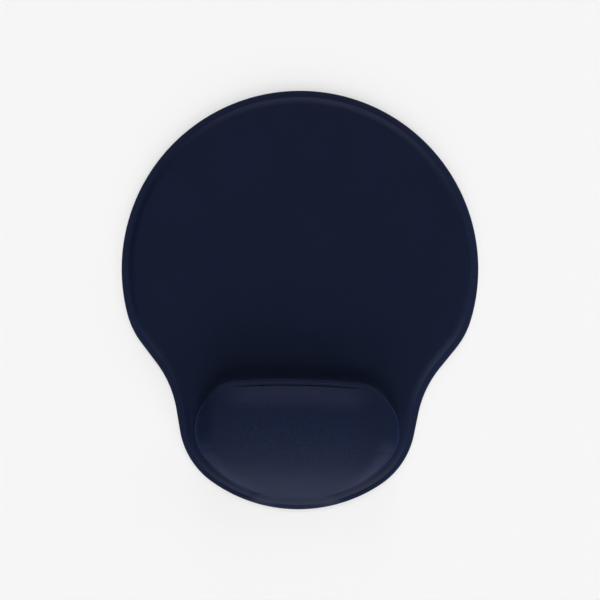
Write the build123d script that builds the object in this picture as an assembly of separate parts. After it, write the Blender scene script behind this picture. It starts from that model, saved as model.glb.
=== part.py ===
from build123d import *
import math
import os

# A mouse pad with a built-in gel wrist rest, in millimetres. It lies on +Z, with the mousing area
# towards +Y and the wrist rest at the -Y edge, nearest the user. The origin is on the underside,
# at the middle of the length and width.
#
# It is a laminate: an anti-slip base sheet, a foam slab bonded on it, a firm foam riser bonded on
# the slab, a gel pouch taped into the riser's tray, and one fabric cover moulded over everything
# and pressed flat onto the base round the rim.

# Thickness of each layer
BASE_THICKNESS = 1.5
ADHESIVE_THICKNESS = 0.15
FOAM_THICKNESS = 2.6
COVER_THICKNESS = 0.75
FILM_THICKNESS = 0.3

# Rim of the pad: the cover is pressed flat over the flange, and the foam's edge is skived inside it
FLANGE_WIDTH = 3.4
SKIVE_WIDTH = 4.5
SKIVE_HEIGHT = 2.4

# Half of the pad's outline, from the rear middle round the right side: (radius, turn in degrees)
# for an arc, (length, None) for a straight. A left turn is negative and makes the hollow neck.
PAD_REAR_Y = 125.0
PAD_OUTLINE = (
    (106.5, 105.6),
    (49.0, 22.5),
    (15.1, None),
    (63.0, -27.5),
    (13.18, None),
    (47.0, 45.0),
)

# Half of the rest's outline, in the same form
REST_REAR_Y = -47.7
REST_OUTLINE = (
    (440.0, 5.0),
    (19.0, 48.5),
    (6.7, None),
    (26.0, 75.0),
    (63.0, 46.0),
)

# Half of the outline of the rest's dome. It reaches further to the rear than the rest, which cuts
# it off upright there and leaves the rounded edge at the sides and the front.
DOME_REAR_Y = -37.5
DOME_OUTLINE = (
    (34.35, None),
    (27.2, 90.0),
    (13.4, None),
    (26.8, 38.5),
    (64.0, 46.0),
)

# Side view of the rest: a gentle crown that falls off faster to the rear, a steeper front, then
# a straight slope to its foot
REST_HEIGHT = 20.0
CREST_Y = -68.0
CROWN_RADIUS = 110.0
CROWN_TURN = 15.0
REAR_RADIUS = 68.0
REAR_TURN = 30.0
FRONT_RADIUS = 60.0
FRONT_TURN = 25.0
FRONT_SLOPE_LENGTH = 40.0
DOME_EDGE_RADIUS = 14.0

# Rear lip of the rest, and the groove between the lip and the pillow, where the cover is tucked in
LIP_WIDTH = 2.55
GROOVE_WIDTH = 0.5
GROOVE_DEPTH = 1.3
GROOVE_END_Y = -63.0

# Tray in the riser that holds the gel pouch. Its rim is widest at the rear, under the lip.
TRAY_FLOOR_Z = 9.5
TRAY_RIM_REAR = 3.8
TRAY_RIM_FRONT = 1.0

# Heights that follow from the layers
BOND_Z = BASE_THICKNESS + ADHESIVE_THICKNESS
FOAM_TOP_Z = BOND_Z + FOAM_THICKNESS
PAD_TOP_Z = FOAM_TOP_Z + COVER_THICKNESS
RISER_Z = FOAM_TOP_Z + ADHESIVE_THICKNESS
POUCH_Z = TRAY_FLOOR_Z + ADHESIVE_THICKNESS
POUCH_FILLED_Z = POUCH_Z + FILM_THICKNESS

# Working room for the solids that trim others, larger than the object
ROOM = 400.0
HIGH = 100.0
DEEP = 40.0
DOME_FOOT_Z = -DEEP / 2

# Slack for telling edges apart
SLACK = 0.01


def tangent_edges(x, y, heading, steps):
    """Arcs and straights laid end to end from x, y, each one tangent to the last.

    heading is in degrees from +X, and a positive turn is to the right. Returns the edges, and the
    last point and heading.
    """
    edges = []
    for size, turn in steps:
        away = math.radians(heading)
        if turn is None:
            end = (x + size * math.cos(away), y + size * math.sin(away))
            edges.append(Edge.make_line((x, y), end))
        else:
            side = math.copysign(1.0, turn)
            centre_x = x + side * size * math.sin(away)
            centre_y = y - side * size * math.cos(away)

            def on_arc(part):
                angle = math.radians(heading - part * turn)
                return (
                    centre_x - side * size * math.sin(angle),
                    centre_y + side * size * math.cos(angle),
                )

            end = on_arc(1.0)
            edges.append(Edge.make_three_point_arc((x, y), on_arc(0.5), end))
            heading -= turn
        x, y = end
    return edges, (x, y), heading


def inset_steps(steps, inset):
    """The same walk along a line that lies inset further in."""
    moved = []
    for size, turn in steps:
        if turn is None:
            moved.append((size, None))
        else:
            moved.append((size - math.copysign(inset, turn), turn))
    return moved


def closed_outline(rear_y, steps, inset):
    """The face inside a mirrored outline. One more arc closes it squarely at the front middle."""
    edges, end, heading = tangent_edges(0.0, rear_y - inset, 0.0, inset_steps(steps, inset))
    last_turn = 180.0 + heading
    last_radius = end[0] / math.sin(math.radians(last_turn))
    edges += tangent_edges(end[0], end[1], heading, [(last_radius, last_turn)])[0]
    edges += [edge.mirror(Plane.YZ) for edge in edges]
    return Face(Wire(edges))


def slab(face, low, high):
    """A flat outline given height."""
    return extrude(Pos(0, 0, low) * face, amount=high - low, dir=(0, 0, 1))


def layer(low, high=ROOM):
    """A level layer of room, or all the room above a height."""
    upwards = (Align.CENTER, Align.CENTER, Align.MIN)
    return Pos(0, 0, low) * Box(ROOM, ROOM, high - low, align=upwards)


def pad_outline(inset=0.0):
    return closed_outline(PAD_REAR_Y, PAD_OUTLINE, inset)


def rest_outline(inset=0.0, forward=0.0):
    """The rest's outline seen from above, moved towards the user by forward."""
    return Pos(0, -forward, 0) * closed_outline(REST_REAR_Y, REST_OUTLINE, inset)


def raised_pad(inset, top):
    """The part of the pad inside the flange, with its upper edge skived."""
    body = slab(pad_outline(FLANGE_WIDTH + inset), BOND_Z, top)
    edges = body.edges().group_by(Axis.Z)[-1]
    face = body.faces().sort_by(Axis.Z)[-1]
    return chamfer(edges, SKIVE_WIDTH, SKIVE_HEIGHT, reference=face)


def rest_crown(inset):
    """Everything under the rest's crown and front slope, wider than the rest."""
    # In this side view x is the way towards the user, measured from the crest.
    crest_z = REST_HEIGHT - inset
    front_steps = [
        (CROWN_RADIUS - inset, CROWN_TURN),
        (FRONT_RADIUS - inset, FRONT_TURN),
        (FRONT_SLOPE_LENGTH, None),
    ]
    front, foot, _ = tangent_edges(0.0, crest_z, 0.0, front_steps)
    rear, tail, _ = tangent_edges(0.0, crest_z, 0.0, [(REAR_RADIUS - inset, REAR_TURN)])
    rear = [edge.mirror(Plane.YZ) for edge in rear]
    closing = Polyline((-tail[0], tail[1]), (-tail[0], -DEEP), (foot[0], -DEEP), foot).edges()
    side_view = Plane(origin=(0, CREST_Y, 0), x_dir=(0, -1, 0), z_dir=(-1, 0, 0))
    face = side_view * Face(Wire(front + rear + closing))
    return extrude(face, amount=HIGH, both=True)


def is_rim(edge):
    """True for an edge of the dome where its side meets the crown.

    The others run upright between two sides, round the foot, or straight across the crown.
    """
    middle = edge.center()
    upright = abs(edge.tangent_at(0.5).Z) > 1 - SLACK
    at_foot = middle.Z < DOME_FOOT_Z + SLACK
    centred = edge.geom_type == GeomType.LINE and abs(middle.X) < SLACK
    across_crown = centred and middle.Y < DOME_REAR_Y - DOME_EDGE_RADIUS
    return not (upright or at_foot or across_crown)


def rest_form(inset, foot_z):
    """The rest's whole shape at a depth below the fabric's surface, down to a level foot."""
    dome_outline = closed_outline(DOME_REAR_Y, DOME_OUTLINE, inset)
    dome = (slab(dome_outline, DOME_FOOT_Z, HIGH) & rest_crown(inset)).solids()[0]
    rounded = fillet(dome.edges().filter_by(is_rim), DOME_EDGE_RADIUS - inset)
    return rounded & slab(rest_outline(inset), foot_z, HIGH)


def make_base_sheet():
    """Anti-slip polyurethane sheet, the full outline of the pad."""
    return slab(pad_outline(), 0.0, BASE_THICKNESS)


def make_base_adhesive():
    """Adhesive film that holds the foam and the cover's flange on the base sheet."""
    return slab(pad_outline(), BASE_THICKNESS, BOND_Z)


def make_pad_foam():
    """Soft foam slab under the whole mousing surface."""
    return raised_pad(COVER_THICKNESS, FOAM_TOP_Z)


def tray_room(inset, floor_z):
    """Room for the pouch, inside the tray's rim and under the crown."""
    rim = (TRAY_RIM_REAR + TRAY_RIM_FRONT) / 2
    forward = (TRAY_RIM_REAR - TRAY_RIM_FRONT) / 2
    inside_rim = slab(rest_outline(COVER_THICKNESS + rim + inset, forward), floor_z, HIGH)
    return inside_rim & rest_form(COVER_THICKNESS + inset, floor_z)


def groove_room(spread):
    """Room for the groove in front of the rear lip, spread further to all sides.

    It narrows towards both ends.
    """
    lip_side = slab(rest_outline(0.0, LIP_WIDTH - spread), PAD_TOP_Z, HIGH)
    pillow_side = slab(rest_outline(0.0, LIP_WIDTH + GROOVE_WIDTH + spread), PAD_TOP_Z, HIGH)
    rearwards = (Align.CENTER, Align.MIN, Align.CENTER)
    rear = Pos(0, GROOVE_END_Y - spread, 0) * Box(ROOM, ROOM, ROOM, align=rearwards)
    return ((lip_side - pillow_side) & rear) - rest_form(GROOVE_DEPTH + spread, PAD_TOP_Z)


def make_rest_riser():
    """Firm foam block that lifts the gel. It has a tray for the gel, with a rim that forms the
    rear lip, and a channel between the two for the tucked cover."""
    body = rest_form(COVER_THICKNESS, RISER_Z) - tray_room(0.0, TRAY_FLOOR_Z)
    return body - groove_room(COVER_THICKNESS)


def make_riser_adhesive():
    """Adhesive film between the foam slab and the riser."""
    return rest_form(COVER_THICKNESS, FOAM_TOP_Z) & layer(FOAM_TOP_Z, RISER_Z)


def make_gel_tape():
    """Double-sided tape under the gel pouch."""
    return tray_room(0.0, TRAY_FLOOR_Z) & layer(TRAY_FLOOR_Z, POUCH_Z)


def make_gel_film_bottom():
    """Flat lower film of the gel pouch."""
    return tray_room(0.0, POUCH_Z) & layer(POUCH_Z, POUCH_FILLED_Z)


def make_gel_core():
    """Soft gel that fills the pouch."""
    return tray_room(FILM_THICKNESS, POUCH_FILLED_Z)


def make_gel_film_top():
    """Domed upper film of the gel pouch, welded to the lower film round its edge."""
    return tray_room(0.0, POUCH_FILLED_Z) - make_gel_core()


def make_fabric_cover():
    """One piece of knitted fabric over the pad and the rest, pressed flat onto the base's rim."""
    flange = slab(pad_outline(), BOND_Z, BOND_Z + COVER_THICKNESS)
    outside = flange + raised_pad(0.0, PAD_TOP_Z) + rest_form(0.0, FOAM_TOP_Z)
    inside_rest = rest_form(COVER_THICKNESS, FOAM_TOP_Z) - groove_room(COVER_THICKNESS)
    return outside - make_pad_foam() - inside_rest - groove_room(0.0)


PIECES = {
    "base_sheet": make_base_sheet,
    "base_adhesive": make_base_adhesive,
    "pad_foam": make_pad_foam,
    "riser_adhesive": make_riser_adhesive,
    "rest_riser": make_rest_riser,
    "gel_tape": make_gel_tape,
    "gel_film_bottom": make_gel_film_bottom,
    "gel_core": make_gel_core,
    "gel_film_top": make_gel_film_top,
    "fabric_cover": make_fabric_cover,
}

os.makedirs("parts", exist_ok=True)
for name, make in PIECES.items():
    export_step(make(), f"parts/{name}.step")
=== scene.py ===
import math

import bpy
import numpy as np
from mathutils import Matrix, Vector, noise
from mathutils.geometry import delaunay_2d_cdt


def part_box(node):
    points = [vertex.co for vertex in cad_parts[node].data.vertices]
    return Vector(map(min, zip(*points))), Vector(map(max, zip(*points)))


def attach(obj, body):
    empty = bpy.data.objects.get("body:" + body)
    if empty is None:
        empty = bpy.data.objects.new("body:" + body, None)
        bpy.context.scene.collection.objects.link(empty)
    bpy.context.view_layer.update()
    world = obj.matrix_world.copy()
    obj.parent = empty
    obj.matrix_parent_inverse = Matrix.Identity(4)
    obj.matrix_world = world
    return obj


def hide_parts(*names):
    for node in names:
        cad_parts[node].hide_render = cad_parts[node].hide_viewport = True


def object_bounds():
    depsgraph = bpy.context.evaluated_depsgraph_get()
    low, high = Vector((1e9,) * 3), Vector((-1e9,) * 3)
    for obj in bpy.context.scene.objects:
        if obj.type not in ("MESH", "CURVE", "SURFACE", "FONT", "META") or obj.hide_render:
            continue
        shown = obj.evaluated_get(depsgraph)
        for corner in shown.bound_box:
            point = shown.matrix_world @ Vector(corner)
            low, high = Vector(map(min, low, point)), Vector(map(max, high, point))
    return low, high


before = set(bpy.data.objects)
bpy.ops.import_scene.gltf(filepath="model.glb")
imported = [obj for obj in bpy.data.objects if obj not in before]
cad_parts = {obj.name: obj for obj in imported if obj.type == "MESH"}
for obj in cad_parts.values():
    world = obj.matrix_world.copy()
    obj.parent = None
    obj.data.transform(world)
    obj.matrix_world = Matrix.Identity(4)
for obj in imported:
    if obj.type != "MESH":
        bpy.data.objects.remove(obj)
CAD_LOW, CAD_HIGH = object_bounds()

# Lengths are in metres. MM lets small sizes be read in millimetres.
MM = 0.001

# ------------------------------------------------------------------------------------------
# Sizes
# ------------------------------------------------------------------------------------------

COVER_LOW, COVER_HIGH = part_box("fabric_cover")
BASE_TOP_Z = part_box("base_sheet")[1].z
FOAM_TOP_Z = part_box("pad_foam")[1].z

COVER_THICKNESS = 0.75 * MM
BOND_Z = COVER_LOW.z
FLANGE_Z = BOND_Z + COVER_THICKNESS
PAD_Z = FOAM_TOP_Z + COVER_THICKNESS
CREST_Z = COVER_HIGH.z

# Half of an outline seen from above, from the rear middle round the right side. A step is
# (radius, turn in degrees) for an arc and (length, None) for a straight. A left turn is negative.
PAD_REAR_Y = COVER_HIGH.y
PAD_OUTLINE = (
    (106.5 * MM, 105.6),
    (49.0 * MM, 22.5),
    (15.1 * MM, None),
    (63.0 * MM, -27.5),
    (13.18 * MM, None),
    (47.0 * MM, 45.0),
)
REST_REAR_Y = -47.7 * MM
REST_OUTLINE = (
    (440.0 * MM, 5.0),
    (19.0 * MM, 48.5),
    (6.7 * MM, None),
    (26.0 * MM, 75.0),
    (63.0 * MM, 46.0),
)
# The dome reaches further to the rear than the rest, which cuts it off upright there.
DOME_REAR_Y = -37.5 * MM
DOME_OUTLINE = (
    (34.35 * MM, None),
    (27.2 * MM, 90.0),
    (13.4 * MM, None),
    (26.8 * MM, 38.5),
    (64.0 * MM, 46.0),
)
DOME_EDGE_RADIUS = 14.0 * MM
# The stretched fabric runs straight on past the dome's edge at the front, so it stands off there.
FRONT_SPREAD = 6.5 * MM
# Beyond its edge the dome is taken to fall away this steeply.
OFF_DOME_SLOPE = 2.0
# Where three neighbouring balls are level, their parabola still bends this much.
FLATTEST_BEND = 1e-12

# Side view of the rest: the crown, which falls off faster behind its crest, then a steeper
# front and a straight slope
CREST_Y = -68.0 * MM
REAR_RADIUS = 68.0 * MM
CROWN_RADIUS = 110.0 * MM
CROWN_TURN = math.radians(15.0)
FRONT_RADIUS = 60.0 * MM
FRONT_TURN = math.radians(25.0)

# Rim: the cover is pressed flat over the flange, then rises over the foam's skived edge, ever
# less steeply, to the pad's top. At the user's edge the rest stands on this slope, and the rim's
# rings end at the reach.
FLANGE_REAR, FLANGE_FRONT = 3.8 * MM, 2.8 * MM
STEP_REAR, STEP_FRONT = 4.5 * MM, 5.4 * MM
FRONT_STARTS_Y, FRONT_ENDS_Y = -60.0 * MM, -105.0 * MM
FLANGE_TILT = 0.2 * MM
RIM_REACH = 5.6 * MM
# The cut edge rounds over: (distance from the edge, drop below the flange) of each of its rings
CUT_EDGE = ((0.0, 0.32 * MM), (0.12 * MM, 0.12 * MM), (0.4 * MM, 0.02 * MM))

# How the fabric is held, which shows in its colour, and where light is painted into it. It is
# pressed on the flange. Painted highlights lie along the pad's rear edge, over the pillow's
# shoulder by the groove, and a little weaker over the rest's two front corners, where these
# slopes catch the light. On the rest it is stretched and lighter, and painted shade darkens both
# its ends.
PRESS_FADE = 1.6 * MM
REAR_HIGHLIGHT_START, REAR_HIGHLIGHT_STEP = 0.5 * MM, 4.5 * MM
SHOULDER_HIGHLIGHT_PEAK, SHOULDER_HIGHLIGHT_END = 4.5 * MM, 16.0 * MM
CORNER_HIGHLIGHT_PEAK, CORNER_HIGHLIGHT_END, CORNER_HIGHLIGHT_SHARE = 1.0 * MM, 9.0 * MM, 0.7
# Painted shade on the rest's ends: its lightening stretch fades out between these distances from
# the middle
END_SHADE_START_X, END_SHADE_FULL_X, STRETCH_IN_END_SHADE = 25.0 * MM, 58.0 * MM, 0.1

# Rest: the rounded corner over its upright wall, the fold at its foot, and the groove that
# sets the lip apart from the pillow along the rear. A wall lower than the lowest isn't upright.
LIP_CORNER = 1.4 * MM
FOOT_FOLD = 0.5 * MM
FOOT_SOFTNESS = 1.0 * MM
LOWEST_WALL, UPRIGHT_WALL = 0.8 * MM, 3.5 * MM
GROOVE_AT = 2.8 * MM
GROOVE_DEPTH = 1.3 * MM
SHOULDER_WIDTH = 3.0 * MM
GROOVE_FULL_X, GROOVE_END_X = 26.0 * MM, 47.0 * MM
RING_REACH = 15.0 * MM
RING_SPACING = 0.85 * MM

# Where along an outline each thing sets in: from which share of facing a side to which, where 1
# is an edge that faces straight to that side
SPREAD_FACING = (0.5, 1.0)
GROOVE_FACING = (0.3, 0.8)
# The painted highlights on the pad's rear edge and on the rest's front corners set in here.
REAR_EDGE_FACING = (0.35, 1.0)
CORNER_FRONT_FACING = (0.15, 0.6)
CORNER_SIDE_FACING = (0.2, 0.6)

# The fabric is never quite level
UNEVENNESS = 0.05 * MM
UNEVENNESS_SPAN = 28.0 * MM

# Where the cover's rings lie: shares of the flange, shares of the step, and turns in degrees
# round the fold at the rest's foot and round the lip's corner
FLANGE_RINGS = (0.25, 0.5, 0.75, 0.95, 1.0)
STEP_RINGS = (0.04, 0.1, 0.18, 0.27, 0.37, 0.47, 0.58, 0.69, 0.8, 0.9, 1.0)
FOLD_TURNS = (0, 25, 50, 72)
CORNER_TURNS = (0, 2, 6, 12, 20, 30, 40, 50, 60, 70, 80)
GROOVE_TURNS = range(0, 90, 11)
# The lip's corner is a superellipse, squarer than a circle.
CORNER_POWER = 3

# How finely the cover is meshed, and the gap between its rings and the grids they surround. The
# chunk limits how many places are measured at once.
PAD_STEPS = 720
REST_STEPS = 420
DOME_STEPS = 1600
FIELD_GRID = 3.4 * MM
PILLOW_GRID = 1.5 * MM
FIELD_GAP = 1.0 * MM
PILLOW_GAP = 0.2 * MM
CHUNK = 2000
# Triangles are kept inside the outer ring, and points nearer than this are one.
INSIDE_ONLY = 2
SAME_POINT = 1e-9
SHARP_FOLD = math.radians(50)
SHARP_EDGE = math.radians(35)

# Anti-slip dots under the base sheet
DOT_HEIGHT = 0.25 * MM
DOT_PITCH = 4.6 * MM
DOT_RADIUS = 1.25 * MM
DOT_SIDES = 8
# Each dot is eased to a smaller ring near its top: (share of its radius, share of its height)
DOT_RINGS = ((1.0, 1.0), (0.72, 0.28))
# The sheet's own edge: (distance from the outline, height) of each ring below its top edge
BASE_EDGE = (
    (0.0, 0.55 * MM),
    (0.09 * MM, 0.34 * MM),
    (0.3 * MM, DOT_HEIGHT),
    (1.2 * MM, DOT_HEIGHT),
)


# ------------------------------------------------------------------------------------------
# Outlines and the rest's surface
# ------------------------------------------------------------------------------------------

def outline(start_y, steps, count):
    """Points spaced evenly along a mirrored outline, clockwise from the rear middle, and the
    outward direction at each one. A last arc closes the outline squarely at the front middle."""
    x, y, heading = 0.0, start_y, 0.0
    runs = []
    for size, turn in list(steps) + [(None, None)]:
        if size is None:
            turn = 180.0 + math.degrees(heading)
            size = x / math.sin(math.radians(turn))
        if turn is None:
            runs.append((x, y, heading, None, size))
            x += size * math.cos(heading)
            y += size * math.sin(heading)
            continue
        angle = math.radians(turn)
        radius = math.copysign(size, angle)
        runs.append((x, y, heading, radius, abs(size * angle)))
        x += radius * (math.sin(heading) - math.sin(heading - angle))
        y += radius * (math.cos(heading - angle) - math.cos(heading))
        heading -= angle
    half = sum(run[-1] for run in runs)
    points, outward = [], []
    for i in range(count):
        along = 2 * half * i / count
        side = 1.0 if along <= half else -1.0
        left = min(along, 2 * half - along)
        for run in runs:
            x, y, heading, radius, length = run
            if left <= length or run is runs[-1]:
                break
            left -= length
        if radius is None:
            x += left * math.cos(heading)
            y += left * math.sin(heading)
        else:
            turned = heading - left / radius
            x += radius * (math.sin(heading) - math.sin(turned))
            y += radius * (math.cos(turned) - math.cos(heading))
            heading = turned
        points.append((side * x, y))
        outward.append((-side * math.sin(heading), math.cos(heading)))
    return np.array(points), np.array(outward)


def smooth(low, high, value):
    """0 at low, 1 at high, and a soft step between."""
    t = np.clip((value - low) / (high - low), 0.0, 1.0)
    return t * t * (3 - 2 * t)


def nearest(places, ring):
    """The number of the ring's point that lies nearest to each place."""
    parts = []
    for first in range(0, len(places), CHUNK):
        away = places[first:first + CHUNK, None, :] - ring[None, :, :]
        parts.append((away ** 2).sum(2).argmin(1))
    return np.concatenate(parts)


def depth_inside(places, ring, outward):
    """How far each place lies inside a ring, negative outside it."""
    near = nearest(places, ring)
    return -((places - ring[near]) * outward[near]).sum(1)


def crown(y, inset):
    """Height and slope (as a sine) of the rest's crown at y, inset below the fabric's surface."""
    forward = CREST_Y - y
    big = np.where(forward < 0, REAR_RADIUS, CROWN_RADIUS) - inset
    small = FRONT_RADIUS - inset
    top = CREST_Z - inset
    end_turn = CROWN_TURN + FRONT_TURN
    first_end = (CROWN_RADIUS - inset) * math.sin(CROWN_TURN)
    first_z = top - (CROWN_RADIUS - inset) * (1 - math.cos(CROWN_TURN))
    second_end = first_end + small * (math.sin(end_turn) - math.sin(CROWN_TURN))
    second_z = first_z - small * (math.cos(CROWN_TURN) - math.cos(end_turn))
    sine = np.where(
        forward < first_end,
        forward / big,
        math.sin(CROWN_TURN) + (forward - first_end) / small,
    )
    sine = np.clip(sine, -1.0, math.sin(end_turn))
    cosine = np.sqrt(1 - sine ** 2)
    height = np.where(
        forward < first_end,
        top - big * (1 - cosine),
        first_z - small * (math.cos(CROWN_TURN) - cosine),
    )
    slope = second_z - (forward - second_end) * math.tan(end_turn)
    return np.where(forward < second_end, height, slope), sine


DOME_RING, DOME_OUTWARD = outline(DOME_REAR_Y, DOME_OUTLINE, DOME_STEPS)
DOME_SPREAD = FRONT_SPREAD * smooth(*SPREAD_FACING, -DOME_OUTWARD[:, 1])
BALL_RING = DOME_RING + DOME_OUTWARD * (DOME_SPREAD - DOME_EDGE_RADIUS)[:, None]
BALL_HEIGHTS = crown(BALL_RING[:, 1], DOME_EDGE_RADIUS)[0]


def dome(places):
    """Height of the rest's dome: the crown, rounded along its edge as by a rolling ball.

    Near the edge the height is the highest that any ball along it reaches. The highest of three
    neighbouring balls is refined by a parabola through them.
    """
    ball = DOME_EDGE_RADIUS
    height, sine = crown(places[:, 1], 0.0)
    centres = places + np.column_stack([np.zeros(len(places)), ball * sine])
    near_edge = np.nonzero(depth_inside(centres, BALL_RING, DOME_OUTWARD) < 0)[0]
    for first in range(0, len(near_edge), CHUNK):
        some = near_edge[first:first + CHUNK]
        away = ((places[some][:, None, :] - BALL_RING[None, :, :]) ** 2).sum(2)
        rise = np.sqrt(np.maximum(ball ** 2 - away, 0.0)) + BALL_HEIGHTS[None, :]
        rise -= OFF_DOME_SLOPE * np.maximum(np.sqrt(away) - ball, 0.0)
        best = rise.argmax(1)
        rows = np.arange(len(some))
        before = rise[rows, best - 1]
        after = rise[rows, (best + 1) % rise.shape[1]]
        peak = rise[rows, best]
        bend = before - 2 * peak + after
        bend = np.minimum(bend, -FLATTEST_BEND)
        height[some] = peak - (after - before) ** 2 / (8 * bend)
    return height


# ------------------------------------------------------------------------------------------
# Mesh building
# ------------------------------------------------------------------------------------------

class Shell:
    """Collects rings of points and filled areas for one mesh."""

    def __init__(self):
        self.points = np.zeros((0, 3))
        self.faces = []

    def ring(self, places, heights):
        """Adds places at their heights and returns their numbers."""
        first = len(self.points)
        heights = np.broadcast_to(heights, len(places))
        self.points = np.concatenate([self.points, np.column_stack([places, heights])])
        return np.arange(first, len(self.points))

    def bridge(self, rings):
        """Quads between rings that run one inside the other, outermost first. They face up."""
        for outer, inner in zip(rings, rings[1:]):
            quads = np.stack([outer, inner, np.roll(inner, -1), np.roll(outer, -1)], axis=1)
            self.faces += quads.tolist()

    def fill(self, rings, inside, heights, up=True):
        """Triangles over the area inside the first ring and outside the others.

        The others bulge outwards all round, so a triangle between three points of one lies in it.
        """
        numbers = np.concatenate(rings + [self.ring(inside, heights)])
        edges, first = [], 0
        for ring in rings:
            n = len(ring)
            edges += [(first + i, first + (i + 1) % n) for i in range(n)]
            first += n
        places = self.points[numbers][:, :2]
        flat = [Vector(place) for place in places]
        result = delaunay_2d_cdt(flat, edges, [], INSIDE_ONLY, SAME_POINT)
        source = np.array([numbers[i[0]] for i in result[3]])
        faces = source[np.array(result[2])]
        for ring in rings[1:]:
            faces = faces[~np.isin(faces, ring).all(axis=1)]
        a, b, c = (self.points[faces[:, i], :2] for i in range(3))
        area = (b - a)[:, 0] * (c - a)[:, 1] - (b - a)[:, 1] * (c - a)[:, 0]
        wrong = area < 0 if up else area > 0
        faces[wrong] = faces[wrong][:, ::-1]
        self.faces += faces.tolist()

    def make(self, name):
        """The finished object, smooth-shaded."""
        mesh = bpy.data.meshes.new(name)
        mesh.from_pydata([tuple(p) for p in self.points], [], self.faces)
        mesh.shade_smooth()
        thing = bpy.data.objects.new(name, mesh)
        bpy.context.scene.collection.objects.link(thing)
        return thing


def hex_grid(pitch):
    """Places on a hexagonal grid that covers the whole object."""
    row = pitch * math.sqrt(3) / 2
    columns = np.arange(CAD_LOW.x, CAD_HIGH.x, pitch)
    rows = np.arange(CAD_LOW.y, CAD_HIGH.y, row)
    x, y = np.meshgrid(columns, rows)
    x[1::2] += pitch / 2
    return np.column_stack([x.ravel(), y.ravel()])


def make_final(thing, sharp_angle):
    """Applies the object's modifiers, and shades it smooth up to an angle."""
    shown = thing.evaluated_get(bpy.context.evaluated_depsgraph_get())
    mesh = bpy.data.meshes.new_from_object(shown)
    thing.modifiers.clear()
    thing.data = mesh
    mesh.shade_smooth()
    mesh.set_sharp_from_angle(angle=sharp_angle)


# ------------------------------------------------------------------------------------------
# The fabric cover
# ------------------------------------------------------------------------------------------

PAD_RING, PAD_OUTWARD = outline(PAD_REAR_Y, PAD_OUTLINE, PAD_STEPS)
REST_RING, REST_OUTWARD = outline(REST_REAR_Y, REST_OUTLINE, REST_STEPS)
# Where the dome still stands high at the rest's outline the rest ends in an upright wall. At
# the front it runs down into the pad instead.
UPRIGHT = smooth(LOWEST_WALL, UPRIGHT_WALL, dome(REST_RING) - PAD_Z)


def towards_front(y):
    """0 where the rim is as at the rear, 1 where it is as at the user's edge."""
    return smooth(-FRONT_STARTS_Y, -FRONT_ENDS_Y, -y)


def rim_widths(y):
    """Widths of the flange and of the step up to the pad's top, at a distance to the rear."""
    front = towards_front(y)
    flange = FLANGE_REAR + (FLANGE_FRONT - FLANGE_REAR) * front
    step = STEP_REAR + (STEP_FRONT - STEP_REAR) * front
    return flange, step


def pad_height(places, inset):
    """Height of the fabric on the pad, inset inside the pad's outline."""
    flange, step = rim_widths(places[:, 1])
    tilt = FLANGE_TILT * np.clip(inset / flange, 0.0, 1.0)
    share = np.clip((inset - flange) / step, 0.0, 1.0)
    rise = PAD_Z - FLANGE_Z - FLANGE_TILT
    return FLANGE_Z + tilt + rise * (1 - (1 - share) ** 2)


def above(rise):
    """The rise where it is above ground, and a soft fillet into the ground where it isn't."""
    return (rise + np.sqrt(rise ** 2 + FOOT_SOFTNESS ** 2)) / 2


def around_rest(places, inset):
    """Height of the fabric on the pad with the rest's front running down into it."""
    ground = pad_height(places, inset)
    sloping = 1 - UPRIGHT[nearest(places, REST_RING)]
    return ground + sloping * above(dome(places) - ground)


def rim_rings(shell):
    """The cover's rim from its cut edge inwards: the flange, then the step up to the pad."""
    flange, step = rim_widths(PAD_RING[:, 1])
    reach = flange + step + (RIM_REACH - flange - step) * towards_front(PAD_RING[:, 1])
    rings = []
    for inset, drop in CUT_EDGE:
        places = PAD_RING - PAD_OUTWARD * inset
        rings.append(shell.ring(places, FLANGE_Z - drop))
    insets = [part * flange for part in FLANGE_RINGS]
    insets += [flange + (reach - flange) * part for part in STEP_RINGS]
    for inset in insets:
        places = PAD_RING - PAD_OUTWARD * inset[:, None]
        rings.append(shell.ring(places, around_rest(places, inset)))
    return rings


def lip_strength(places, outward):
    """How strongly the groove shows: fully in the rear middle, less towards both corners."""
    facing = smooth(*GROOVE_FACING, outward[:, 1])
    return facing * (1 - smooth(GROOVE_FULL_X, GROOVE_END_X, np.abs(places[:, 0])))


def quarter_drop(share):
    """How far a quarter circle has dropped, as a share of its radius, from 0 at 0 to 1 at 1."""
    return 1 - np.sqrt(1 - np.clip(share, 0.0, 1.0) ** 2)


def rest_height(places, inset, outward):
    """Height of the fabric on the rest, inset inside the rest's outline.

    The lip and the pillow's shoulder both round down into the groove between them.
    """
    lip_share = (inset - LIP_CORNER) / (GROOVE_AT - LIP_CORNER)
    shoulder_share = (GROOVE_AT + SHOULDER_WIDTH - inset) / SHOULDER_WIDTH
    share = np.where(inset < GROOVE_AT, lip_share, shoulder_share)
    return dome(places) - lip_strength(places, outward) * GROOVE_DEPTH * quarter_drop(share)


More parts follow.
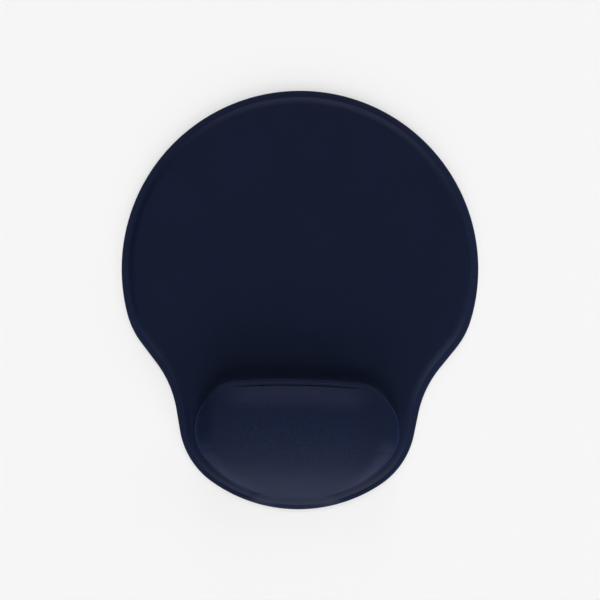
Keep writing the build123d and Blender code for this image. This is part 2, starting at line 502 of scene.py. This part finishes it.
def rest_rings(shell):
    """The rest from its foot inwards: the fold, the wall, the lip and the pillow's shoulder."""
    fold = FOOT_FOLD * UPRIGHT
    rings = []
    for degrees in FOLD_TURNS:
        turn = math.radians(degrees)
        places = REST_RING + REST_OUTWARD * FOOT_FOLD * (1 - math.sin(turn))
        ground = around_rest(places, depth_inside(places, PAD_RING, PAD_OUTWARD))
        rings.append(shell.ring(places, ground + fold * (1 - math.cos(turn))))
    steep = np.radians(CORNER_TURNS)
    even = np.radians(GROOVE_TURNS)
    corner = LIP_CORNER * (1 - np.cos(steep) ** (2 / CORNER_POWER))
    lip = LIP_CORNER + (GROOVE_AT - LIP_CORNER) * np.sin(even)
    shoulder = GROOVE_AT + SHOULDER_WIDTH * (1 - np.cos(even))
    far = np.arange(GROOVE_AT + SHOULDER_WIDTH, RING_REACH, RING_SPACING)
    for inset in np.concatenate([corner, lip, shoulder, far]):
        places = REST_RING - REST_OUTWARD * inset
        foot = pad_height(places, depth_inside(places, PAD_RING, PAD_OUTWARD)) + fold
        rise = above(rest_height(places, inset, REST_OUTWARD) - foot)
        short = 1 - min(inset / LIP_CORNER, 1.0)
        wall = (1 - short ** CORNER_POWER) ** (1 / CORNER_POWER)
        rings.append(shell.ring(places, foot + rise * (1 - UPRIGHT * (1 - wall))))
    return rings


def band(value, start, peak, end):
    """0 up to start, 1 at peak, and 0 again from end on."""
    return smooth(start, peak, value) * (1 - smooth(peak, end, value))


def fabric_states_and_painted_light(places):
    """How stretched and how pressed the fabric is at each place, with painted shade on the rest's
    ends and painted highlights where slopes catch the light.
    """
    pad_near = nearest(places, PAD_RING)
    rest_near = nearest(places, REST_RING)
    on_rest = depth_inside(places, REST_RING, REST_OUTWARD)
    past_flange = depth_inside(places, PAD_RING, PAD_OUTWARD) - rim_widths(places[:, 1])[0]

    # Painted shade: the lighter stretched fabric fades towards both ends of the rest, which fall
    # away from the light
    end_shade = smooth(END_SHADE_START_X, END_SHADE_FULL_X, np.abs(places[:, 0]))
    stretched_with_end_shade = smooth(-FOOT_FOLD, FOOT_FOLD, on_rest) * (1 - (1 - STRETCH_IN_END_SHADE) * end_shade)
    pressed = 1 - smooth(0.0, PRESS_FADE, past_flange)

    # Painted highlights: along the pad's rear rounding, on the pillow's shoulder by the groove,
    # and weaker on the rest's front corners, where these slopes catch the light
    rear_edge = smooth(-REAR_HIGHLIGHT_START, REAR_HIGHLIGHT_START, past_flange)
    rear_edge *= 1 - smooth(0.0, REAR_HIGHLIGHT_STEP, past_flange)
    rear_edge *= smooth(*REAR_EDGE_FACING, PAD_OUTWARD[pad_near, 1])
    outward = REST_OUTWARD[rest_near]
    shoulder = band(on_rest - GROOVE_AT, 0.0, SHOULDER_HIGHLIGHT_PEAK, SHOULDER_HIGHLIGHT_END)
    shoulder *= lip_strength(places, outward)
    corner = band(on_rest, 0.0, CORNER_HIGHLIGHT_PEAK, CORNER_HIGHLIGHT_END)
    corner *= smooth(*CORNER_FRONT_FACING, -outward[:, 1])
    corner *= smooth(*CORNER_SIDE_FACING, np.abs(outward[:, 0]))
    painted_highlight = rear_edge + shoulder + CORNER_HIGHLIGHT_SHARE * corner
    return {"stretch_and_end_shade": stretched_with_end_shade, "pressed": pressed, "painted_highlight": painted_highlight}


def make_cover():
    """The whole cover as one skin, then given its thickness inwards."""
    shell = Shell()
    rim = rim_rings(shell)
    rest = rest_rings(shell)
    shell.bridge(rim)
    shell.bridge(rest)

    grid = hex_grid(FIELD_GRID)
    on_pad = depth_inside(grid, PAD_RING, PAD_OUTWARD) > STEP_REAR + FLANGE_REAR + FIELD_GAP
    off_rest = depth_inside(grid, REST_RING, REST_OUTWARD) < -FOOT_FOLD - FIELD_GAP
    field = grid[on_pad & off_rest]
    heights = around_rest(field, depth_inside(field, PAD_RING, PAD_OUTWARD))
    shell.fill([rim[-1], rest[0]], field, heights)

    grid = hex_grid(PILLOW_GRID)
    depth = depth_inside(grid, REST_RING, REST_OUTWARD)
    pillow = grid[depth > RING_REACH + PILLOW_GAP]
    shell.fill([rest[-1]], pillow, dome(pillow))

    for point in shell.points:
        place = Vector(point) / UNEVENNESS_SPAN
        point[2] += UNEVENNESS * noise.noise(place) * smooth(FLANGE_Z, PAD_Z, point[2])
    shell.points[:, 2] = np.minimum(shell.points[:, 2], CREST_Z)

    cover = shell.make("cover")
    # The painted highlights and the painted shade go onto the cover as attributes, beside its
    # stretch and pressing.
    for name, values in fabric_states_and_painted_light(shell.points[:, :2]).items():
        attribute = cover.data.attributes.new(name, "FLOAT", "POINT")
        attribute.data.foreach_set("value", values)
    thickness = cover.modifiers.new("thickness", "SOLIDIFY")
    thickness.thickness = COVER_THICKNESS
    thickness.offset = -1.0
    make_final(cover, SHARP_FOLD)
    return cover


# ------------------------------------------------------------------------------------------
# The base sheet
# ------------------------------------------------------------------------------------------

def make_base():
    """The anti-slip sheet, with its edges eased and low dots all over its underside."""
    shell = Shell()
    rings = [shell.ring(PAD_RING, BASE_TOP_Z)]
    for inset, height in BASE_EDGE:
        rings.append(shell.ring(PAD_RING - PAD_OUTWARD * inset, height))
    shell.bridge([ring[::-1] for ring in rings])
    shell.fill([rings[0]], np.zeros((0, 2)), 0.0)

    centres = hex_grid(DOT_PITCH)
    centres = centres[depth_inside(centres, PAD_RING, PAD_OUTWARD) > 2 * DOT_RADIUS + FIELD_GAP]
    turns = np.arange(DOT_SIDES) * 2 * math.pi / DOT_SIDES
    circle = np.column_stack([np.cos(turns), np.sin(turns)]) * DOT_RADIUS
    places, heights = [centres], [np.zeros(len(centres))]
    for part, height in DOT_RINGS:
        around = (centres[:, None, :] + circle[None, :, :] * part).reshape(-1, 2)
        places.append(around)
        heights.append(np.full(len(around), height * DOT_HEIGHT))
    shell.fill([rings[-1]], np.concatenate(places), np.concatenate(heights), up=False)
    base = shell.make("base")
    make_final(base, SHARP_EDGE)
    return base


cover = make_cover()
base = make_base()

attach(cover, "root")
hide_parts("fabric_cover")

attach(base, "root")
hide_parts("base_sheet")


# ------------------------------------------------------------------------------------------
# Materials
# ------------------------------------------------------------------------------------------

class Nodes:
    """Builds one procedural material."""

    def __init__(self, name):
        self.material = bpy.data.materials.new(name)
        self.material.use_nodes = True
        self.tree = self.material.node_tree
        self.shader = self.tree.nodes["Principled BSDF"]
        self.place = self.node("ShaderNodeTexCoord").outputs["Object"]

    def node(self, kind, **settings):
        made = self.tree.nodes.new(kind)
        for name, value in settings.items():
            setattr(made, name, value)
        return made

    def plug(self, socket, value):
        """Links an output to a socket, or sets a plain value on it."""
        if isinstance(value, bpy.types.NodeSocket):
            self.tree.links.new(value, socket)
        elif value is not None:
            socket.default_value = value

    def set(self, name, value):
        self.plug(self.shader.inputs[name], value)

    def math(self, operation, first, second=None, third=None):
        made = self.node("ShaderNodeMath", operation=operation)
        for socket, value in zip(made.inputs, (first, second, third)):
            self.plug(socket, value)
        return made.outputs[0]

    def blend(self, factor, first, second):
        """A colour between two colours."""
        made = self.node("ShaderNodeMix", data_type="RGBA")
        self.plug(made.inputs["Factor"], factor)
        self.plug(made.inputs["A"], first)
        self.plug(made.inputs["B"], second)
        return made.outputs["Result"]

    def span(self, value, low, high, to_low=0.0, to_high=1.0):
        """Maps a value from one range to another and holds it there."""
        made = self.node("ShaderNodeMapRange")
        for name, number in zip(
            ("Value", "From Min", "From Max", "To Min", "To Max"),
            (value, low, high, to_low, to_high),
        ):
            self.plug(made.inputs[name], number)
        return made.outputs["Result"]

    def noise(self, size, detail, rough=0.5):
        """Noise from 0 to 1 whose grains are about size metres across."""
        made = self.node("ShaderNodeTexNoise")
        self.plug(made.inputs["Vector"], self.place)
        self.plug(made.inputs["Scale"], 1.0 / size)
        self.plug(made.inputs["Detail"], detail)
        self.plug(made.inputs["Roughness"], rough)
        return made.outputs["Fac"]

    def attribute(self, name):
        return self.node("ShaderNodeAttribute", attribute_name=name).outputs["Fac"]

    def bump(self, height, distance, strength, normal=None):
        made = self.node("ShaderNodeBump")
        self.plug(made.inputs["Height"], height)
        self.plug(made.inputs["Distance"], distance)
        self.plug(made.inputs["Strength"], strength)
        self.plug(made.inputs["Normal"], normal)
        return made.outputs["Normal"]


def shade(colour, factor):
    """A colour made lighter or darker."""
    return tuple(min(part * factor, 1.0) for part in colour[:3]) + (1.0,)


NAVY = (0.0031, 0.0074, 0.0256)
DARKEST_YARN, LIGHTEST_YARN = 0.4, 1.9
# The colour that pressed fabric tends to, and that the painted highlights tend to
PRESSED_AND_HIGHLIGHT_NAVY = (0.0120, 0.0168, 0.0470, 1.0)
SHEEN_BLUE = (0.20, 0.34, 1.0, 1.0)

# The knit: the width of a wale and the height of a course, how far steep fabric shifts the
# pattern with height, how far the wales sway, and over what length
WALE, COURSE = 0.42 * MM, 0.36 * MM
PATTERN_LEAN = 0.6
SWAY, SWAY_SPAN = 0.5 * MM, 9 * MM
FIBRE_SIZE, SPECKLE_SIZE, PATCH_SIZE = 0.5 * MM, 0.8 * MM, 32 * MM


def stitch_pattern(n):
    """Slanted loops in rows, mirrored within each wale, which makes their V shapes."""
    axes = n.node("ShaderNodeSeparateXYZ")
    n.plug(axes.inputs[0], n.place)
    x, y, z = axes.outputs
    across = n.math("MULTIPLY_ADD", z, PATTERN_LEAN, x)
    along = n.math("MULTIPLY_ADD", z, PATTERN_LEAN, y)
    across = n.math("MULTIPLY_ADD", n.noise(SWAY_SPAN, 1.0), SWAY, across)

    in_wale = n.math("PINGPONG", n.math("DIVIDE", across, WALE / 2), 1.0)
    strand = n.math("PINGPONG", n.math("MULTIPLY", in_wale, 2.0), 1.0)
    slant = n.math("MULTIPLY_ADD", in_wale, 0.75, n.math("DIVIDE", along, COURSE))
    loop = n.math("SINE", n.math("MULTIPLY", slant, 2 * math.pi))
    loop = n.math("MULTIPLY_ADD", loop, 0.5, 0.5)
    raised = n.math("MULTIPLY_ADD", loop, 0.6, 0.4)
    return n.math("MULTIPLY", raised, n.math("POWER", strand, 0.6))


def knit_material():
    """Fine navy elastic knit: V-shaped stitches, a mottled yarn, soft sheen, painted highlights
    and painted shade.
    """
    n = Nodes("navy_knit")
    stitch = stitch_pattern(n)

    # On the rest the stretched yarn is lighter and shows more of its mottling, and painted shade
    # darkens both ends of the rest. It is lighter again, and greyer, where it is pressed flat on
    # the flange and where highlights are painted along the pad's rear edge, the pillow's shoulder
    # and the rest's front corners.
    stretch_and_end_shade = n.attribute("stretch_and_end_shade")
    pressed = n.attribute("pressed")
    painted_highlight = n.attribute("painted_highlight")
    fibre = n.span(n.noise(FIBRE_SIZE, 3.0, 0.65), 0.3, 0.7)
    speckle = n.span(n.noise(SPECKLE_SIZE, 3.0, 0.7), 0.36, 0.64)
    patch = n.span(n.noise(PATCH_SIZE, 2.0), 0.35, 0.65)
    mottling = n.span(stretch_and_end_shade, 0.0, 1.0, 0.1, 0.8)

    tone = 0.4
    for pattern, amount in ((stitch, 0.25), (fibre, 0.15), (speckle, mottling), (patch, 0.04)):
        tone = n.math("MULTIPLY_ADD", n.math("SUBTRACT", pattern, 0.5), amount, tone)
    # Here painted shade darkens the rest's ends, and painted highlights lighten the pad's rear
    # edge, the pillow's shoulder and the rest's front corners.
    for state, amount in ((stretch_and_end_shade, 0.14), (pressed, 0.08), (painted_highlight, 0.12)):
        tone = n.math("MULTIPLY_ADD", state, amount, tone)
    knit = n.blend(tone, shade(NAVY, DARKEST_YARN), shade(NAVY, LIGHTEST_YARN))
    # Painted highlights, and the pressed flange, pull the colour towards a lighter, greyer navy.
    highlight_and_pressed_mix = n.math("MAXIMUM", n.math("MULTIPLY", painted_highlight, 0.9), n.math("MULTIPLY", pressed, 0.4))
    highlight_and_pressed_mix = n.math("MULTIPLY_ADD", stretch_and_end_shade, 0.08, highlight_and_pressed_mix)
    n.set("Base Color", n.blend(highlight_and_pressed_mix, knit, PRESSED_AND_HIGHLIGHT_NAVY))

    n.set("Roughness", n.span(speckle, 0.0, 1.0, 0.5, 0.62))
    n.set("Specular IOR Level", 0.12)
    n.set("Sheen Weight", 0.085)
    n.set("Sheen Roughness", 0.4)
    n.set("Sheen Tint", SHEEN_BLUE)

    normal = n.bump(speckle, 0.05 * MM, 0.5)
    n.set("Normal", n.bump(stitch, 0.06 * MM, 0.6, normal))
    return n.material


# A cloud in rubber or foam is this many grains across. Film has clouds and waves of its own.
CLOUD_GRAINS = 30
FILM_CLOUD, FILM_WAVE = 6 * MM, 0.05 * MM


def rubber_material(name, colour, grain, depth, roughness):
    """Matte rubber or foam with a fine grain, mottled and a little uneven in its shine."""
    n = Nodes(name)
    fine = n.noise(grain, 3.0, 0.6)
    cloud = n.noise(grain * CLOUD_GRAINS, 2.0)
    tone = n.math("MULTIPLY_ADD", n.span(fine, 0.3, 0.7), 0.6, n.math("MULTIPLY", cloud, 0.4))
    n.set("Base Color", n.blend(tone, shade(colour, 0.7), shade(colour, 1.3)))
    n.set("Roughness", n.span(cloud, 0.3, 0.7, roughness - 0.08, roughness + 0.08))
    n.set("Specular IOR Level", 0.35)
    n.set("Normal", n.bump(fine, depth, 0.7))
    return n.material


def film_material(name, colour, roughness):
    """Thin film, tape or gel: smooth, slightly wavy and cloudy."""
    n = Nodes(name)
    cloud = n.noise(FILM_CLOUD, 2.0)
    n.set("Base Color", n.blend(n.span(cloud, 0.3, 0.7), shade(colour, 0.85), shade(colour, 1.1)))
    n.set("Roughness", n.span(cloud, 0.3, 0.7, roughness * 0.7, roughness * 1.3))
    n.set("Normal", n.bump(cloud, FILM_WAVE, 0.5))
    return n.material


def give(thing, material):
    """The material replaces every material on a piece."""
    thing.data.materials.clear()
    thing.data.materials.append(material)


def give_slots(thing, material):
    """The material goes into the slots of a CAD node's object, and its mesh stays as it is."""
    for place in thing.material_slots:
        place.link = "OBJECT"
        place.material = material


BLACK_RUBBER = (0.012, 0.012, 0.014)
BLACK_FOAM = (0.010, 0.010, 0.012)
GREY_FOAM = (0.022, 0.028, 0.036)
ADHESIVE = (0.16, 0.15, 0.12)
TAPE = (0.60, 0.57, 0.47)
GEL_FILM = (0.34, 0.46, 0.62)
GEL = (0.15, 0.32, 0.60)

give(cover, knit_material())
give(base, rubber_material("black_polyurethane", BLACK_RUBBER, 0.35 * MM, 0.05 * MM, 0.72))
adhesive = film_material("adhesive_film", ADHESIVE, 0.3)
gel_film = film_material("gel_film", GEL_FILM, 0.15)
for node, material in (
    ("base_adhesive", adhesive),
    ("riser_adhesive", adhesive),
    ("pad_foam", rubber_material("black_foam", BLACK_FOAM, 0.6 * MM, 0.10 * MM, 0.85)),
    ("rest_riser", rubber_material("grey_foam", GREY_FOAM, 0.9 * MM, 0.12 * MM, 0.8)),
    ("gel_tape", film_material("gel_tape", TAPE, 0.4)),
    ("gel_film_bottom", gel_film),
    ("gel_core", film_material("blue_gel", GEL, 0.08)),
    ("gel_film_top", gel_film),
):
    give_slots(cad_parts[node], material)


# ------------------------------------------------------------------------------------------
# Floor, light and camera
# ------------------------------------------------------------------------------------------

FLOOR_REACH = 6.0
FLOOR_GREY = (0.38, 0.38, 0.38, 1.0)
FLOOR_GLOW = 0.555

# Soft lights far away: (name, azimuth, elevation, strength), with azimuth 0 on the user's side
# and 90 on the right
SOFTNESS = math.radians(24)
LIGHTS = (
    ("front", 0, 14, 2.10),
    ("front_right", 42, 14, 1.45),
    ("rear_right", 135, 14, 0.62),
    ("rear", 180, 14, 0.98),
    ("front_left", 332, 14, 0.75),
    ("front_high", 0, 46, 0.98),
    ("rear_high", 180, 50, 1.12),
)

WORLD_COLOUR = (0.92, 0.95, 1.0, 1.0)
WORLD_STRENGTH = 0.02

# The camera looks straight down, from far enough away to show almost no perspective. It is
# turned by about a degree.
CAMERA_HEIGHT = 2.2
VIEW_WIDTH = 0.3578
CAMERA_X = 0.36 * MM
CAMERA_TURN = 0.0184


def make_floor():
    """A pale floor that glows a little. It is left out of reflections, so that it draws no
    bright outline on the rest's steep sides."""
    mesh = bpy.data.meshes.new("floor")
    reach = FLOOR_REACH
    corners = [(-reach, -reach, 0), (reach, -reach, 0), (reach, reach, 0), (-reach, reach, 0)]
    mesh.from_pydata(corners, [], [(0, 1, 2, 3)])
    floor = bpy.data.objects.new("floor", mesh)
    bpy.context.scene.collection.objects.link(floor)
    n = Nodes("pale_floor")
    n.set("Base Color", FLOOR_GREY)
    n.set("Roughness", 0.9)
    n.set("Specular IOR Level", 0.0)
    n.set("Emission Color", (1.0, 1.0, 1.0, 1.0))
    n.set("Emission Strength", FLOOR_GLOW)
    mesh.materials.append(n.material)
    floor.visible_glossy = False


def make_light(name, azimuth, elevation, strength):
    data = bpy.data.lights.new(name, "SUN")
    data.angle = SOFTNESS
    data.energy = strength
    light = bpy.data.objects.new(name, data)
    a, e = math.radians(azimuth), math.radians(elevation)
    towards = Vector((math.sin(a) * math.cos(e), -math.cos(a) * math.cos(e), math.sin(e)))
    light.rotation_mode = "QUATERNION"
    light.rotation_quaternion = towards.to_track_quat("Z", "Y")
    bpy.context.scene.collection.objects.link(light)


def make_camera():
    data = bpy.data.cameras.new("camera")
    data.lens = CAMERA_HEIGHT * data.sensor_width / VIEW_WIDTH
    camera = bpy.data.objects.new("camera", data)
    camera.location = (CAMERA_X, 0.0, CAMERA_HEIGHT + PAD_Z)
    camera.rotation_euler = (0.0, 0.0, CAMERA_TURN)
    bpy.context.scene.collection.objects.link(camera)
    bpy.context.scene.camera = camera


def make_world():
    world = bpy.data.worlds.new("studio")
    world.use_nodes = True
    background = world.node_tree.nodes["Background"]
    background.inputs["Color"].default_value = WORLD_COLOUR
    background.inputs["Strength"].default_value = WORLD_STRENGTH
    bpy.context.scene.world = world


make_floor()
for light in LIGHTS:
    make_light(*light)
make_camera()
make_world()
bpy.context.scene.view_settings.view_transform = "Standard"
